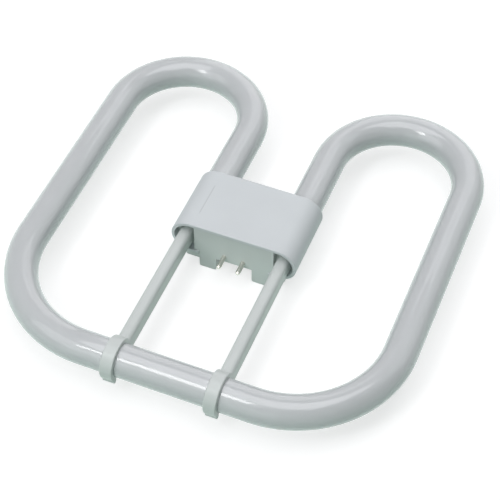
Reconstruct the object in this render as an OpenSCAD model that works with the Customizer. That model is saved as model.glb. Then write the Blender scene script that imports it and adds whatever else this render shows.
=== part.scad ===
/* [Tube] */
// Overall width of the bent tube, left to right
lamp_w = 205; // [170:0.5:246]
// Overall length of the bent tube, front to back
lamp_l = 205; // [170:0.5:246]
// Outside diameter of the glass tube
tube_d = 16.4; // [13.5:0.1:20]
// Distance between the centres of the two legs
leg_pitch = 45.2; // [37.5:0.1:54.5]
// Centreline radius of the two front corners
corner_r = 52; // [30:0.5:58]
// Rounding of the sealed shoulder at the end of each leg
shoulder_r = 2.5; // [1:0.1:4]
// Diameter of the sealed pumping tip on each leg
tip_d = 4.4; // [3:0.1:5]
// Length of the pumping tip
tip_l = 7; // [4:0.1:8]
// Distance from the back of the base plate to the sealed end of a leg
end_room = 13.5; // [12:0.5:16]
// Thickness of the cement on the sealed end
cement_t = 3; // [2:0.1:4]

/* [Housing] */
// Length of the housing, front rim to rear face
housing_l = 38.6; // [33:0.1:48]
// Distance of the front rim in front of the middle of the lamp
rim_y = 15.7; // [15:0.1:20]
// Wall of the housing
wall = 1.65; // [1.2:0.05:2.5]
// Clearance between the housing and the legs
leg_gap = 0.2; // [0.1:0.05:0.4]
// Rounding of the rear edge
rear_r = 2; // [0.5:0.1:3]
// Rounding of the front rim
rim_r = 0.5; // [0.2:0.1:0.8]

/* [Pin carrier] */
// Step from the front rim back to the pin face
face_step = 0.7; // [0.4:0.1:3]
// Thickness of the raised pin face in front of the base plate
face_t = 3.5; // [3:0.1:5]
// Thickness of the base plate
plate_t = 2; // [1.6:0.1:3]
// Distance of the pin face's ends inside the centres of the legs
face_inset = 1.8; // [1.5:0.1:4]
// Wall round the pockets behind the pin face
pocket_wall = 1.6; // [1.2:0.1:2.2]
// Clearance of the carrier in the housing
carrier_gap = 0.1; // [0.05:0.05:0.3]
// Distance of the rails' outer sides inside the centres of the legs
rail_inset = 4.3; // [4:0.1:6]
// Width of each rail under the housing
rail_w = 8.8; // [5:0.1:9.5]
// Length of the rails
rail_l = 31; // [24:0.5:34]
// Depth of the rails below the middle of the tube
rail_drop = 19.4; // [16:0.1:22]
// Half width of the flange under the housing
flange_half = 26.3; // [24:0.1:28]
// Depth of the flange's underside below the middle of the tube
flange_drop = 13.5; // [11.5:0.1:14]
// Wall of the hollow rails
rail_wall = 1.6; // [1.2:0.1:2.2]
// Height of the slope at the rear end of a rail
rail_slope = 2.5; // [1:0.1:4]

/* [Arms and clips] */
// Width of each arm
arm_w = 6.4; // [5:0.1:7]
// Height of each arm
arm_h = 8; // [6:0.1:9]
// Distance of the arm's centre outside the centre of the leg
arm_shift = 2.8; // [0:0.1:3]
// Rounding of the arm's upper edges
arm_r = 2.5; // [1:0.1:2.5]
// Wall of the hollow arm
arm_wall = 1.6; // [1.2:0.1:2]
// Width of the spring clip
clip_w = 6.2; // [5:0.1:8]
// Thickness of the spring clip
clip_t = 2.1; // [1.4:0.1:2.4]
// Rounding of the clip's outer edges
clip_r = 0.5; // [0.3:0.1:1.8]
// Clearance between the clip and the tube
clip_gap = 0.1; // [0.05:0.01:0.2]
// Radius of the rounded lip at the clip's mouth
lip_r = 1.25; // [1:0.05:1.4]
// Angle that the clip wraps below the tube's middle at the front
clip_front = 46; // [30:1:55]
// Angle that the clip wraps below the tube's middle at the arm
clip_back = 24; // [20:1:40]

/* [Contact pins] */
// Diameter of each pin
pin_d = 2.4; // [2:0.1:2.6]
// Diameter of the shank that is moulded into the carrier
shank_d = 2; // [1.6:0.1:2]
// Distance between the two pins
pin_pitch = 10; // [7:0.1:10.5]
// Depth of the pins below the middle of the tube
pin_drop = 7.3; // [6.5:0.1:7.3]
// Length of the pin in front of the pin face
pin_l = 8; // [5:0.1:9]
// Height of the face left below the pins
pin_margin = 2.2; // [0.6:0.1:2.4]

/* [Leads and starting gear] */
// Diameter of the leads
lead_d = 1; // [0.6:0.1:1.4]
// Bend radius of the leads
lead_bend = 2; // [1.5:0.1:2.5]
// Depth of the pin leads below the middle of the tube
lead_drop = 4.3; // [3:0.1:4.5]
// Distance from the back of the base plate to the pin leads' cross run
lead_run = 4.5; // [4:0.1:6]
// Diameter of the glow starter's bottle
starter_d = 8; // [6:0.1:9]
// Length of the glow starter's bottle
starter_l = 16; // [12:0.5:18]
// Clearance round the glow starter, to the roof of the housing
starter_gap = 0.4; // [0.2:0.1:1]
// Distance from the back of the base plate to the middle of the starter
starter_back = 5.5; // [5:0.1:7]
// Width of the capacitor
capacitor_w = 10; // [8:0.5:12]
// Depth of the capacitor, front to back
capacitor_l = 6; // [4:0.5:7]
// Height of the capacitor
capacitor_h = 8; // [6:0.5:8]
// Distance between the starter and the capacitor
capacitor_gap = 3; // [2.5:0.5:4]

/* [Hidden] */
$fn = 96;

// Left side, then right side
SIDES = [-1, 1];

// Centreline of the tube, seen from above, with the middle of the lamp at zero
tube_r = tube_d / 2;
side_x = lamp_w / 2 - tube_r;
end_y = lamp_l / 2 - tube_r;
leg_x = leg_pitch / 2;
bend_r = (side_x - leg_x) / 2;
bend_y = end_y - bend_r;
sharp_r = 0.01;

// The housing's bore follows the legs
bore_r = tube_r + leg_gap;
shell_r = bore_r + wall;
rear_y = housing_l - rim_y;

// The carrier, from the pin face back to the rear of its base plate
face_y = -rim_y + face_step;
plate_y = face_y + face_t;
back_y = plate_y + plate_t;
carrier_r = bore_r - carrier_gap;
face_half = leg_x - face_inset;
rail_out = leg_x - rail_inset;
rail_in = rail_out - rail_w;
rail_end = rail_slope + rail_wall;
flange_r = 2;
hollow_w = rail_w - 2 * rail_wall;
pin_r = pin_d / 2;
shank_r = shank_d / 2;
pocket_x = pin_pitch / 2 + pin_r + pocket_wall;
notch_z = pin_drop + pin_r + pin_margin;
notch_depth = face_t - 1;

// The legs end behind the carrier, in a layer of cement
leg_end_y = back_y + end_room;
cement_fit = 0.05;
tail_l = lead_run + 1;
drop_bend = 1.5;
pin_run_y = back_y + lead_run;

// The starter lies across the housing, with the capacitor behind it
lead_r = lead_d / 2;
starter_y = back_y + starter_back;
starter_z = bore_r - starter_gap - starter_d / 2;
starter_round = starter_d / 2 - 1;
capacitor_y = starter_y + starter_d / 2 + capacitor_gap + capacitor_l / 2;
wire_x = starter_l / 2 + 1.5;
wire_bend = 1.5;

// The clips stand on the front run of the tube
arm_x = leg_x + arm_shift;
clip_in = tube_r + clip_gap;
clip_out = clip_in + clip_t;
lip_at = clip_out - 0.15;
lip_edge = 0.5;

// The lamp stands on its rails, centred in plan
shift_y = (clip_out - tube_r) / 2;

module place() {
    translate([0, shift_y, rail_drop]) children();
}

// Straight round bar along Y
module bar_y(x, y0, y1, z, r) {
    translate([x, y0, z]) rotate([-90, 0, 0]) cylinder(h = y1 - y0, r = r);
}

// Straight round bar along X
module bar_x(x0, x1, y, z, r) {
    translate([x0, y, z]) rotate([0, 90, 0]) cylinder(h = x1 - x0, r = r);
}

// Bend of a round bar in a level plane
module bend(x, y, z, radius, r, from, sweep) {
    translate([x, y, z]) rotate([0, 0, from])
        rotate_extrude(angle = sweep) translate([radius, 0]) circle(r = r);
}

// Half section of a round-edged block: radius across, length up
module edge_profile(r, len, near_r, far_r) {
    difference() {
        square([r, len]);
        translate([r - far_r, len - far_r]) difference() {
            square(far_r + 1);
            circle(r = far_r);
        }
        translate([r - near_r, near_r]) mirror([0, 1]) difference() {
            square(near_r + 1);
            circle(r = near_r);
        }
    }
}

// Flat-topped block with half-round ends about the two leg axes
module round_ended(r, y0, y1, near_r, far_r) {
    for (side = SIDES)
        translate([side * leg_x, y0, 0]) rotate([-90, 0, 0])
            rotate_extrude() edge_profile(r, y1 - y0, near_r, far_r);
    translate([0, y0, 0]) rotate([0, -90, 0])
        linear_extrude(leg_pitch, center = true) for (side = [0, 1])
            mirror([side, 0]) edge_profile(r, y1 - y0, near_r, far_r);
}

// The same block with sharp edges
module slot_block(r, y0, y1) {
    for (side = SIDES) bar_y(side * leg_x, y0, y1, 0, r);
    translate([-leg_x, y0, -r]) cube([leg_pitch, y1 - y0, 2 * r]);
}

module rounded_rect(w, l, r) {
    square([w - 2 * r, l], center = true);
    square([w, l - 2 * r], center = true);
    for (sx = SIDES, sy = SIDES)
        translate([sx * (w / 2 - r), sy * (l / 2 - r)]) circle(r = r);
}

module tube_half() {
    // Leg with its sealed shoulder and pumping tip
    translate([leg_x, bend_y, 0]) rotate([90, 0, 0])
        rotate_extrude() edge_profile(tube_r, bend_y - leg_end_y, sharp_r, shoulder_r);
    bar_y(leg_x, leg_end_y - tip_l + tip_d / 2, leg_end_y + 1, 0, tip_d / 2);
    translate([leg_x, leg_end_y - tip_l + tip_d / 2, 0]) sphere(r = tip_d / 2);
    // Rear lobe, side and front corner
    bend(leg_x + bend_r, bend_y, 0, bend_r, tube_r, 0, 180);
    bar_y(side_x, corner_r - end_y, bend_y, 0, tube_r);
    bend(side_x - corner_r, corner_r - end_y, 0, corner_r, tube_r, -90, 90);
}

module discharge_tube() {
    color("gainsboro") place() {
        tube_half();
        mirror([1, 0, 0]) tube_half();
        bar_x(corner_r - side_x, side_x - corner_r, -end_y, 0, tube_r);
    }
}

module housing() {
    color("lightgray") place() difference() {
        round_ended(shell_r, -rim_y, rear_y, rim_r, rear_r);
        slot_block(bore_r, -rim_y - 1, rear_y - wall);
        for (side = SIDES)
            bar_y(side * leg_x, -rim_y - 1, rear_y + 1, 0, bore_r);
        // Opening underneath for the rails of the carrier
        translate([-rail_out - carrier_gap, -rim_y - 1, -shell_r - 1])
            cube([2 * (rail_out + carrier_gap), face_y + rail_l + carrier_gap + rim_y + 1, shell_r]);
    }
}

// Section of a rail, rounded along its lower edges
module rail_profile() {
    edge = 1;
    translate([rail_in, -rail_drop + edge]) square([rail_w, rail_drop - bore_r - edge]);
    translate([rail_in + edge, -rail_drop]) square([rail_w - 2 * edge, edge]);
    for (x = [rail_in + edge, rail_out - edge])
        translate([x, -rail_drop + edge]) circle(r = edge);
}

module rail() {
    difference() {
        translate([0, face_y + rail_l, 0]) rotate([90, 0, 0])
            linear_extrude(rail_l) rail_profile();
        translate([rail_in + rail_wall, face_y + rail_wall, -rail_drop + rail_wall])
            cube([hollow_w, rail_l - rail_end - rail_wall, rail_drop]);
        // Sloping rear end
        translate([0, face_y + rail_l, -rail_drop]) rotate([45, 0, 0])
            translate([rail_in - 1, -2 * rail_slope, -2 * rail_slope])
                cube([rail_w + 2, 4 * rail_slope, (2 + cos(45)) * rail_slope]);
    }
}

// Section of an arm: round shoulders above, open channel below
module arm_profile() {
    difference() {
        union() {
            translate([-arm_w / 2, -arm_h / 2]) square([arm_w, arm_h - arm_r]);
            translate([arm_r - arm_w / 2, 0]) square([arm_w - 2 * arm_r, arm_h / 2]);
            for (side = SIDES)
                translate([side * (arm_w / 2 - arm_r), arm_h / 2 - arm_r]) circle(r = arm_r);
        }
        translate([arm_wall - arm_w / 2, -arm_h / 2 - 1])
            square([arm_w - 2 * arm_wall, arm_h - arm_r + 1]);
    }
}

// Section of a clip's band: sharp against the tube, with rounded outer edges
module band_profile() {
    intersection() {
        translate([clip_in, -clip_w / 2]) square([clip_t, clip_w]);
        union() {
            translate([0, -clip_w / 2]) square([clip_out - clip_r, clip_w]);
            translate([0, clip_r - clip_w / 2]) square([clip_out, clip_w - 2 * clip_r]);
            for (side = SIDES)
                translate([clip_out - clip_r, side * (clip_w / 2 - clip_r)]) circle(r = clip_r);
        }
    }
}

// Clip round the front run: its band starts under the arm, goes over the top and ends in a lip
module clip() {
    rotate([90, 0, 90]) {
        rotate([0, 0, -clip_back])
            rotate_extrude(angle = 180 + clip_back + clip_front) band_profile();
        rotate([0, 0, 180 + clip_front]) translate([lip_at, 0, -clip_w / 2])
            rotate_extrude() edge_profile(lip_r, clip_w, lip_edge, lip_edge);
    }
}

// Arm from the base plate to the back of its clip
module arm() {
    arm_end = -end_y + clip_in + 0.5;
    translate([arm_x, plate_y, 0]) rotate([90, 0, 0])
        linear_extrude(plate_y - arm_end) arm_profile();
    translate([arm_x, -end_y, 0]) clip();
}

module pin_carrier() {
    color("silver") place() difference() {
        union() {
            // Base plate across the housing and the raised pin face
            slot_block(carrier_r, plate_y, back_y);
            translate([-face_half, face_y, -carrier_r])
                cube([2 * face_half, face_t + 1, 2 * carrier_r]);
            // Floor that closes the housing underneath, and the foot that joins it
            translate([-rail_out, face_y, -shell_r])
                cube([2 * rail_out, rail_l, wall]);
            translate([-rail_out, face_y, -shell_r])
                cube([2 * rail_out, face_t + plate_t, shell_r]);
            // Flange that covers the edges of the housing's opening from below
            translate([0, face_y + rail_l / 2, -flange_drop])
                linear_extrude(flange_drop - shell_r - carrier_gap)
                    rounded_rect(2 * flange_half, rail_l, flange_r);
            translate([-rail_out, face_y, -flange_drop])
                cube([2 * rail_out, rail_l, flange_drop - shell_r + 1]);
            for (side = [0, 1]) mirror([side, 0, 0]) {
                rail();
                arm();
            }
        }
        // Step under the pin face, between the rails
        translate([-rail_in, face_y - 1, -flange_drop - 1])
            cube([2 * rail_in, notch_depth + 1, flange_drop + 1 - notch_z]);
        // Rear pockets beside the pins, and the rails' hollow through the floor
        for (side = [0, 1]) mirror([side, 0, 0]) {
            translate([pocket_x, face_y + plate_t, pocket_wall - carrier_r])
                cube([face_half - pocket_wall - pocket_x, face_t + 1,
                    2 * (carrier_r - pocket_wall)]);
            translate([rail_in + rail_wall, back_y, -flange_drop - 1])
                cube([hollow_w, rail_l - rail_end - face_t - plate_t, flange_drop]);
        }
        for (side = SIDES)
            bar_y(side * pin_pitch / 2, face_y - 1, back_y + 1, -pin_drop, shank_r);
    }
}

module contact_pin(side) {
    x = side * pin_pitch / 2;
    color("tan") place() {
        bar_y(x, face_y - pin_l + pin_r, face_y, -pin_drop, pin_r);
        translate([x, face_y - pin_l + pin_r, -pin_drop]) sphere(r = pin_r);
        bar_y(x, face_y - pin_r, back_y + tail_l, -pin_drop, shank_r);
    }
}

// Lead from the sealed end of a leg, across the housing, then down onto its pin
module pin_lead(side) {
    pin_x = pin_pitch / 2;
    color("indianred") place() mirror([side < 0 ? 1 : 0, 0, 0]) {
        bar_y(leg_x, pin_run_y + lead_bend, leg_end_y, -lead_drop, lead_r);
        bend(leg_x - lead_bend, pin_run_y + lead_bend, -lead_drop, lead_bend, lead_r, -90, 90);
        bar_x(pin_x + drop_bend, leg_x - lead_bend, pin_run_y, -lead_drop, lead_r);
        translate([pin_x + drop_bend, pin_run_y, -lead_drop - drop_bend]) rotate([90, 0, 0])
            bend(0, 0, 0, drop_bend, lead_r, 90, 90);
        translate([pin_x, pin_run_y, shank_r - pin_drop])
            cylinder(h = pin_drop - shank_r - lead_drop - drop_bend, r = lead_r);
    }
}

// Lead from the sealed end of a leg to its end of the starter
module starter_lead(side) {
    color("steelblue") place() mirror([side < 0 ? 1 : 0, 0, 0]) {
        bar_y(leg_x, starter_y + lead_bend, leg_end_y, starter_z, lead_r);
        bend(leg_x - lead_bend, starter_y + lead_bend, starter_z, lead_bend, lead_r, -90, 90);
        bar_x(starter_l / 2, leg_x - lead_bend, starter_y, starter_z, lead_r);
    }
}

module glow_starter() {
    color("azure") place() translate([-starter_l / 2, starter_y, starter_z]) rotate([0, 90, 0])
        rotate_extrude() edge_profile(starter_d / 2, starter_l, starter_round, starter_round);
}

// Capacitor with its two wires, which are joined to the starter's leads
module capacitor() {
    color("peru") place() {
        translate([0, capacitor_y, starter_z])
            cube([capacitor_w, capacitor_l, capacitor_h], center = true);
        for (side = [0, 1]) mirror([side, 0, 0]) {
            bar_x(0, wire_x - wire_bend, capacitor_y, starter_z, lead_r);
            bend(wire_x - wire_bend, capacitor_y - wire_bend, starter_z, wire_bend, lead_r, 0, 90);
            bar_y(wire_x, starter_y + lead_r, capacitor_y - wire_bend, starter_z, lead_r);
        }
    }
}

// Layer of cement behind the sealed end of a leg
module cement(side) {
    color("ivory") place() difference() {
        bar_y(side * leg_x, leg_end_y - cement_t, leg_end_y, 0, bore_r - cement_fit);
        bar_y(side * leg_x, leg_end_y - cement_t - 1, leg_end_y + 1, 0, tip_d / 2 + cement_fit);
        for (z = [starter_z, -lead_drop])
            bar_y(side * leg_x, leg_end_y - cement_t - 1, leg_end_y + 1, z, lead_r + cement_fit);
    }
}

discharge_tube();
housing();
pin_carrier();
for (i = [0:1]) {
    contact_pin(SIDES[i]);
    pin_lead(SIDES[i]);
    starter_lead(SIDES[i]);
}
glow_starter();
capacitor();
cement(-1);  // cement_left
cement(1);  // cement_right
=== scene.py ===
# %% [markdown]
# # A square compact fluorescent lamp
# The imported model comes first. It already has the true shapes, in metres, with the lamp
# standing on its two rails at z = 0. Everything below adds the finishes, the small moulded
# marks, the floor, the light and the camera.

# %% Load the lamp
import math

import bpy
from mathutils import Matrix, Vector


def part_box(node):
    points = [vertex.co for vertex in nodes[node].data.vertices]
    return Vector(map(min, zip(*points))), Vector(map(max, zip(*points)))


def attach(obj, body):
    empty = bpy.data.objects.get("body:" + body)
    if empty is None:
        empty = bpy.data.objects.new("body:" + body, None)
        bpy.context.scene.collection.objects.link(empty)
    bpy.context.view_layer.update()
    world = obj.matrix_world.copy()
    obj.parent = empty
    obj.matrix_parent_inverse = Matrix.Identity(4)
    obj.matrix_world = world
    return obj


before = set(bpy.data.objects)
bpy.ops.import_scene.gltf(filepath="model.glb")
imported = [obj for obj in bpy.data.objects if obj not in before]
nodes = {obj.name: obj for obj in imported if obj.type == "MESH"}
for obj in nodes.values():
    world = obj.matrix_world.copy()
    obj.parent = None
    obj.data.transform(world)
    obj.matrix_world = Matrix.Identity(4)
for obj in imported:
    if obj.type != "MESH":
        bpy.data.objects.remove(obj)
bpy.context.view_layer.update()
scene = bpy.context.scene
MM = 0.001
print("nodes:", sorted(nodes))

# %% [markdown]
# ## The camera
# The lamp is seen from the front, a little from its right and from half above. A long lens
# at about 0.7 m gives the slight narrowing towards the rear lobes. The target is a point on
# the lamp's own middle plane.

# %% Place the camera
VIEW_AZIMUTH = math.radians(22.2)
VIEW_HEIGHT = math.radians(50.1)
VIEW_DISTANCE = 694 * MM
LENS = 103.2
AIM_OFFSET = Vector((7.33, -11.69, 0)) * MM


def middle(piece):
    corners = [piece.matrix_world @ Vector(corner) for corner in piece.bound_box]
    return sum(corners, Vector()) / len(corners)


tube_middle = middle(nodes["discharge_tube"])
TARGET = tube_middle + AIM_OFFSET

away = Vector((
    math.sin(VIEW_AZIMUTH) * math.cos(VIEW_HEIGHT),
    -math.cos(VIEW_AZIMUTH) * math.cos(VIEW_HEIGHT),
    math.sin(VIEW_HEIGHT),
))
camera_data = bpy.data.cameras.new("camera")
camera_data.lens = LENS
camera_data.sensor_width = 36
camera_data.clip_start = 0.01
camera = bpy.data.objects.new("camera", camera_data)
camera.location = TARGET + away * VIEW_DISTANCE
camera.rotation_euler = away.to_track_quat("Z", "Y").to_euler()
scene.collection.objects.link(camera)
scene.camera = camera
print("camera at", [round(c, 3) for c in camera.location])

# %% [markdown]
# ## A short way to write shader maths
# A finish is a small graph of nodes. Wrapping a socket in a class with operators lets the
# graph be written as a sum, so `0.4 + grain * 0.1` adds its own Math nodes.


# %% Wrap a socket
class Value:
    """A socket that carries a number and can be used in a sum."""

    def __init__(self, finish, socket):
        self.finish = finish
        self.socket = socket

    def join(self, operation, first, second):
        return self.finish.node("ShaderNodeMath", {"operation": operation}, {0: first, 1: second})

    def __add__(self, other):
        return self.join("ADD", self, other)

    __radd__ = __add__

    def __sub__(self, other):
        return self.join("SUBTRACT", self, other)

    def __rsub__(self, other):
        return self.join("SUBTRACT", other, self)

    def __mul__(self, other):
        return self.join("MULTIPLY", self, other)

    __rmul__ = __mul__

    def limited(self):
        return self.join("MINIMUM", self.join("MAXIMUM", self, 0.0), 1.0)


# %% [markdown]
# One class holds a finish. Its `node` method takes a node's type, its settings and the
# values or links of its sockets, so every other node is made the same way.


# %% Describe a finish
class Finish:
    def __init__(self, name):
        self.material = bpy.data.materials.new(name)
        self.material.use_nodes = True
        self.tree = self.material.node_tree
        self.surface = self.tree.nodes["Principled BSDF"]
        self.place = self.node("ShaderNodeTexCoord", {}, {}, "Object")

    def put(self, socket, value):
        if isinstance(value, Value):
            self.tree.links.new(value.socket, socket)
        else:
            socket.default_value = value

    def node(self, kind, settings, inputs, output=0):
        made = self.tree.nodes.new(kind)
        for key, value in settings.items():
            if key == "stops":
                for spot, colour in value.items():
                    stop = made.color_ramp.elements.new(spot)
                    stop.color = (*colour, 1)
                made.color_ramp.elements.remove(made.color_ramp.elements[0])
                made.color_ramp.elements.remove(made.color_ramp.elements[-1])
            else:
                setattr(made, key, value)
        for key, value in inputs.items():
            self.put(made.inputs[key], value)
        return Value(self, made.outputs[output])

    def set(self, **sockets):
        for key, value in sockets.items():
            self.put(self.surface.inputs[key.replace("_", " ")], value)

    def noise(self, size, detail=2.0, rough=0.5, stretch=(1, 1, 1)):
        """Noise whose patches are about size metres across, from 0 to 1."""
        spot = self.node(
            "ShaderNodeMapping", {}, {"Vector": self.place, "Scale": stretch}
        )
        return self.node(
            "ShaderNodeTexNoise",
            {},
            {"Vector": spot, "Scale": 1 / size, "Detail": detail, "Roughness": rough},
            "Fac",
        )

    def colour(self, amount, low, high):
        """A colour between low and high."""
        return self.node(
            "ShaderNodeMix",
            {"data_type": "RGBA"},
            {"Factor": amount, 6: (*low, 1), 7: (*high, 1)},
            2,
        )

    def bump(self, height, depth):
        """A normal from a height of 0 to 1 that stands for depth metres."""
        return self.node(
            "ShaderNodeBump", {}, {"Height": height, "Distance": depth, "Strength": 1.0}, "Normal"
        )


# %% [markdown]
# ## Coated glass
# The tube is clear glass with a matt white powder inside. The powder gives an even, very
# slightly mottled white. The glass gives a thin sharp highlight over it, so the powder is
# the base layer and the glass is the coat.

# %% Finish the tube
glass = Finish("coated_glass")
mottle = glass.noise(14 * MM, detail=3)
powder = glass.noise(1.2 * MM, detail=2)
tone = (0.75 * mottle + 0.25 * powder).limited()
glass.set(
    Base_Color=glass.colour(tone, (0.495, 0.515, 0.525), (0.555, 0.575, 0.585)),
    Roughness=0.42 + 0.12 * powder,
    Subsurface_Weight=0.5,
    Subsurface_Radius=(1, 1, 1),
    Subsurface_Scale=5 * MM,
    Coat_Weight=1.0,
    Coat_Roughness=0.03,
    Coat_IOR=1.5,
    Normal=glass.bump(powder, 0.012 * MM),
)

# %% [markdown]
# ## White plastic
# The housing and the carrier are satin mouldings of white resin. A fine grain from the mould
# breaks up the reflections. The carrier's colour is a little darker and a touch greener, as
# painted shade: the green tint of the shade on its faces. Its skin is a little glossier.


# %% Finish the mouldings
def moulded_plastic(name, low, high, rough):
    plastic = Finish(name)
    cloud = plastic.noise(22 * MM, detail=3)
    grain = plastic.noise(0.55 * MM, detail=2)
    plastic.skin = (0.8 * cloud + 0.2 * grain).limited()
    plastic.set(
        Base_Color=plastic.colour(plastic.skin, low, high),
        Roughness=rough + 0.1 * grain,
        Normal=plastic.bump(grain, 0.015 * MM),
    )
    return plastic


housing_finish = moulded_plastic("housing_plastic", (0.61, 0.64, 0.655), (0.68, 0.715, 0.73), 0.38)
housing_white = housing_finish.material
# Painted shade: the carrier's colours are darker and greener than the housing's, for the tint of its
# shaded faces.
carrier_white = moulded_plastic(
    "carrier_plastic", (0.59, 0.625, 0.61), (0.655, 0.695, 0.68), 0.30
).material

# %% [markdown]
# A thin line of painted shade lies on the housing's top near the left shoulder, as the shadow
# in the left wall of a shallow recess. It runs front to back, stops short of both edges and
# shows as a slightly darker line. It is drawn as a mask from the piece's own coordinates.

# %% Paint the shade line
SHADE_LINE_X = -21.1 * MM
SHADE_LINE_WIDTH = 0.45 * MM
SHADE_LINE_FRONT, SHADE_LINE_REAR = -6.8 * MM, 14.2 * MM
SHADE_LINE_FADE = 2 * MM
SHADE_LINE_STRENGTH = 0.55


def place_along(finish, axis):
    return finish.node("ShaderNodeSeparateXYZ", {}, {0: finish.place}, axis)


across = place_along(housing_finish, "X") - SHADE_LINE_X
along = place_along(housing_finish, "Y")
upper = place_along(housing_finish, "Z") - tube_middle.z
# Painted shade: a thin mask along the line, fading out at its ends and below the tube's middle height.
painted_shade_line = (
    (1 - housing_finish.node("ShaderNodeMath", {"operation": "ABSOLUTE"}, {0: across})
     * (1 / SHADE_LINE_WIDTH)).limited()
    * ((along - SHADE_LINE_FRONT) * (1 / SHADE_LINE_FADE)).limited()
    * ((SHADE_LINE_REAR - along) * (1 / SHADE_LINE_FADE)).limited()
    * (upper * (1 / SHADE_LINE_FADE)).limited()
)
skin_colour = housing_finish.colour(housing_finish.skin, (0.61, 0.64, 0.655), (0.68, 0.715, 0.73))
# The housing's colour is mixed towards a dark grey along the line, as painted shade.
housing_finish.set(
    Base_Color=housing_finish.node(
        "ShaderNodeMix",
        {"data_type": "RGBA"},
        {"Factor": painted_shade_line * SHADE_LINE_STRENGTH, 6: skin_colour, 7: (0.42, 0.44, 0.45, 1)},
        2,
    )
)

# %% [markdown]
# ## Pins and the pieces inside
# The pins are nickel-plated brass, drawn to size, so they carry faint marks along their
# length. The rest is out of sight in the housing: leads in a soft sleeve, a dull sandy
# cement, the glass bottle of the glow starter and the dipped case of the capacitor.

# %% Finish the small pieces
pins = Finish("pin_metal")
drawn = pins.noise(0.5 * MM, detail=3, stretch=(1, 0.08, 1))
pins.set(
    Base_Color=pins.colour(drawn, (0.62, 0.60, 0.55), (0.80, 0.79, 0.74)),
    Metallic=1.0,
    Roughness=0.16 + 0.2 * drawn,
    Normal=pins.bump(drawn, 0.01 * MM),
)

sleeve = Finish("lead_sleeve")
weave = sleeve.noise(0.4 * MM)
sleeve.set(
    Base_Color=sleeve.colour(weave, (0.55, 0.54, 0.50), (0.72, 0.71, 0.66)),
    Roughness=0.7,
    Normal=sleeve.bump(weave, 0.02 * MM),
)

filler = Finish("cement")
sand = filler.noise(0.7 * MM, detail=4, rough=0.65)
filler.set(
    Base_Color=filler.colour(sand, (0.47, 0.44, 0.38), (0.68, 0.64, 0.56)),
    Roughness=0.9,
    Normal=filler.bump(sand, 0.06 * MM),
)

bottle = Finish("starter_glass")
smoke = bottle.noise(3 * MM, detail=3)
bottle.set(
    Base_Color=bottle.colour(smoke, (0.40, 0.44, 0.44), (0.58, 0.62, 0.62)),
    Roughness=0.12 + 0.1 * smoke,
    Coat_Weight=0.6,
)

case = Finish("capacitor_case")
dip = case.noise(2.5 * MM, detail=2)
case.set(
    Base_Color=case.colour(dip, (0.33, 0.075, 0.02), (0.42, 0.11, 0.035)),
    Roughness=0.25 + 0.15 * dip,
    Normal=case.bump(dip, 0.05 * MM),
)

# %% [markdown]
# Each finish goes on the pieces that share it.

# %% Put the finishes on
looks = {
    "discharge_tube": glass.material,
    "housing": housing_white,
    "pin_carrier": carrier_white,
    "contact_pin": pins.material,
    "lead_wire": sleeve.material,
    "cement": filler.material,
    "glow_starter": bottle.material,
    "capacitor": case.material,
}
for name, piece in nodes.items():
    look = next(look for start, look in looks.items() if name.startswith(start))
    piece.data.materials.clear()
    piece.data.materials.append(look)
    print(name, "gets", look.name)

# %% [markdown]
# ## Marks of the mould
# A moulded carrier keeps small round marks underneath, where pins pushed it out of the mould,
# and a little stub where the plastic flowed in. They are hidden in the photograph but show
# when the lamp is turned over. Each mark starts as a low cylinder whose top is inset and
# sunk, so it reads as a shallow dish with a fine rim. One is modelled and then copied.

# %% Model one ejector mark
MARK_RADIUS = 1.6 * MM
MARK_STAND = 0.12 * MM
MARK_SUNK = 0.5 * MM
MARK_RIM = 0.25 * MM
MARK_DISH = 0.08 * MM

carrier_low, carrier_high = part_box("pin_carrier")
housing_low, housing_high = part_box("housing")


def faces_at(mesh, height, tolerance=0.01 * MM):
    """Select the faces that lie level at a height."""
    bpy.ops.object.mode_set(mode="OBJECT")
    for vertex in mesh.vertices:
        vertex.select = False
    for edge in mesh.edges:
        edge.select = False
    for face in mesh.polygons:
        face.select = abs(face.center.z - height) < tolerance and abs(face.normal.z) > 0.9
    bpy.ops.object.mode_set(mode="EDIT")


def round_mark(name, radius, stand, sunk, dish, spot):
    """A low round mark that hangs down from a level face at the height of spot."""
    bpy.ops.object.select_all(action="DESELECT")
    bpy.ops.mesh.primitive_cylinder_add(
        vertices=40,
        radius=radius,
        depth=stand + sunk,
        location=spot + Vector((0, 0, (sunk - stand) / 2)),
    )
    mark = bpy.context.object
    mark.name = name
    bpy.ops.object.transform_apply(location=True, rotation=True, scale=True)
    bpy.ops.object.mode_set(mode="EDIT")
    bpy.ops.mesh.select_mode(type="FACE")
    faces_at(mark.data, spot.z - stand)
    bpy.ops.mesh.inset(thickness=MARK_RIM)
    bpy.ops.transform.translate(value=(0, 0, dish))
    bpy.ops.mesh.inset(thickness=MARK_RIM)
    bpy.ops.mesh.select_all(action="SELECT")
    bpy.ops.mesh.remove_doubles(threshold=0.001 * MM)
    bpy.ops.mesh.normals_make_consistent(inside=False)
    bpy.ops.object.mode_set(mode="OBJECT")
    bpy.ops.object.shade_smooth_by_angle(angle=math.radians(35))
    mark.data.materials.append(carrier_white)
    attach(mark, "root")
    print(name, "has", len(mark.data.polygons), "faces")
    return mark


# %% [markdown]
# The marks sit on the flange's underside, which is 5.9 mm above the ground. Two stand in
# each bay beside the rails and two in the middle, with the stub between those.

# %% Set the marks in place
FLANGE_HEIGHT = 5.9 * MM
MARK_SPOTS = [(x, y) for x in (-22.3, -4.6, 4.6, 22.3) for y in (-7.5, 11.5)]

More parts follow.
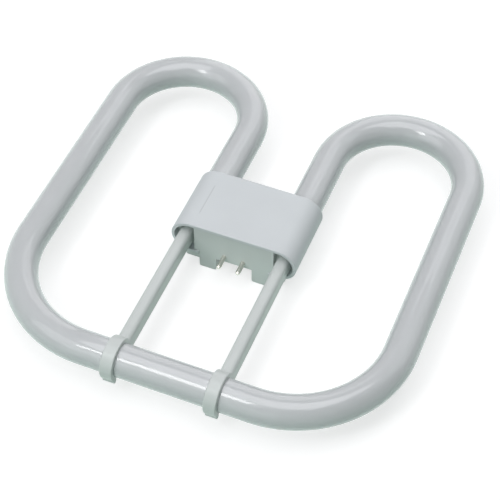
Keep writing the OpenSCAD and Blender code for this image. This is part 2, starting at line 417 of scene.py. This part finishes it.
first_spot = Vector((MARK_SPOTS[0][0] * MM, MARK_SPOTS[0][1] * MM, FLANGE_HEIGHT))
first_mark = round_mark("ejector_mark_1", MARK_RADIUS, MARK_STAND, MARK_SUNK, MARK_DISH, first_spot)
for number, (x, y) in enumerate(MARK_SPOTS[1:], start=2):
    bpy.ops.object.select_all(action="DESELECT")
    first_mark.select_set(True)
    bpy.context.view_layer.objects.active = first_mark
    bpy.ops.object.duplicate()
    copy = bpy.context.object
    copy.name = f"ejector_mark_{number}"
    copy.location = Vector((x * MM, y * MM, FLANGE_HEIGHT)) - first_spot
    bpy.ops.object.transform_apply(location=True, rotation=False, scale=False)
    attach(copy, "root")

round_mark("gate_stub", 0.9 * MM, 0.35 * MM, MARK_SUNK, 0.05 * MM, Vector((0, 2 * MM, FLANGE_HEIGHT)))

# %% [markdown]
# ## Floor and light
# The floor is one large white sheet at the level of the rails. A little glow for the camera
# alone keeps it white, and the lamp's own soft shadow stays on it. Farther out, where the
# panels no longer reach, the glow rises to a full white.

# %% Lay the floor
FLOOR_SIZE = 12.0
SHADOW_REACH = 0.2
NEAR_GLOW, FAR_GLOW = 0.65, 1.0
bpy.ops.object.select_all(action="DESELECT")
bpy.ops.mesh.primitive_plane_add(size=FLOOR_SIZE, location=(0, 0, 0))
floor = bpy.context.object
floor.name = "floor"

paper = Finish("floor_paper")
paper.set(Roughness=0.9, Specular_IOR_Level=0.1)
seen = paper.node("ShaderNodeLightPath", {}, {}, "Is Camera Ray")
mirrored = paper.node("ShaderNodeLightPath", {}, {}, "Is Glossy Ray")
through = paper.node("ShaderNodeLightPath", {}, {}, "Is Transmission Ray")
distance = paper.node("ShaderNodeVectorMath", {"operation": "LENGTH"}, {0: paper.place}, "Value")
far = ((distance - SHADOW_REACH) * 2.0).limited()
paper.set(
    Base_Color=paper.colour(seen, (0.48, 0.61, 0.55), (0.48, 0.48, 0.48)),
    Emission_Color=(1, 1, 1, 1),
    Emission_Strength=(NEAR_GLOW + (FAR_GLOW - NEAR_GLOW) * far) * (seen + mirrored + through).limited(),
)
floor.data.materials.append(paper.material)

# %% [markdown]
# Large soft panels stand round the lamp, as in a photographer's light tent. Most light comes
# from above and from the front left. Two weaker panels behind lift the far sides, and two low
# ones in front lift the undersides. One small bright window at the front left draws the crisp
# line along the front run. The powers are in watts.

# %% Hang the lights
PANEL_DISTANCE = 1.6
PANEL_SIZE = 1.2
WINDOW_WIDTH, WINDOW_HEIGHT = 0.30, 0.50


def soft_panel(name, direction, power, colour, wide=PANEL_SIZE, high=PANEL_SIZE):
    data = bpy.data.lights.new(name, "AREA")
    data.shape = "RECTANGLE"
    data.size = wide
    data.size_y = high
    data.energy = power
    data.color = colour
    panel = bpy.data.objects.new(name, data)
    aim = Vector(direction).normalized()
    panel.location = tube_middle + aim * PANEL_DISTANCE
    panel.rotation_euler = aim.to_track_quat("Z", "Y").to_euler()
    scene.collection.objects.link(panel)


soft_panel("overhead", (0, 0, 1), 12.9, (0.98, 0.97, 1.0))
soft_panel("rear", (0, 1, 0.6), 5.9, (0.98, 0.97, 1.0))
soft_panel("rear_right", (0.7, 0.7, 0.7), 3.2, (0.93, 1.0, 0.98))
soft_panel("front_left", (-0.6, -0.7, 0.8), 6.3, (0.97, 0.97, 1.0))
soft_panel("low_front", (-0.2, -1, 0.25), 3.4, (0.87, 1.0, 0.94))
soft_panel("front_right", (0.5, -0.9, 0.5), 1.0, (0.8, 1.0, 0.9))
soft_panel("window", (-0.245, -0.524, 0.824), 3.8, (1, 1, 1), WINDOW_WIDTH, WINDOW_HEIGHT)

# %% [markdown]
# The world is nearly dark, so that the panels alone shape the lamp, but the camera sees it
# as the same white as the floor.

# %% Paint the world
world = bpy.data.worlds.new("sky")
world.use_nodes = True
scene.world = world
sky_tree = world.node_tree
sky = sky_tree.nodes["Background"]
sky_seen = sky_tree.nodes.new("ShaderNodeLightPath")
sky_strength = sky_tree.nodes.new("ShaderNodeMath")
sky_strength.operation = "MAXIMUM"
sky_strength.inputs[1].default_value = 0.02
sky_sum = sky_tree.nodes.new("ShaderNodeVectorMath")
sky_sum.operation = "LENGTH"
sky_rays = sky_tree.nodes.new("ShaderNodeCombineXYZ")
for spot, ray in enumerate(("Is Camera Ray", "Is Glossy Ray", "Is Transmission Ray")):
    sky_tree.links.new(sky_seen.outputs[ray], sky_rays.inputs[spot])
sky_tree.links.new(sky_rays.outputs[0], sky_sum.inputs[0])
sky_tree.links.new(sky_sum.outputs["Value"], sky_strength.inputs[0])
sky_tree.links.new(sky_strength.outputs[0], sky.inputs["Strength"])
sky.inputs["Color"].default_value = (1, 1, 1, 1)
scene.view_settings.view_transform = "Standard"
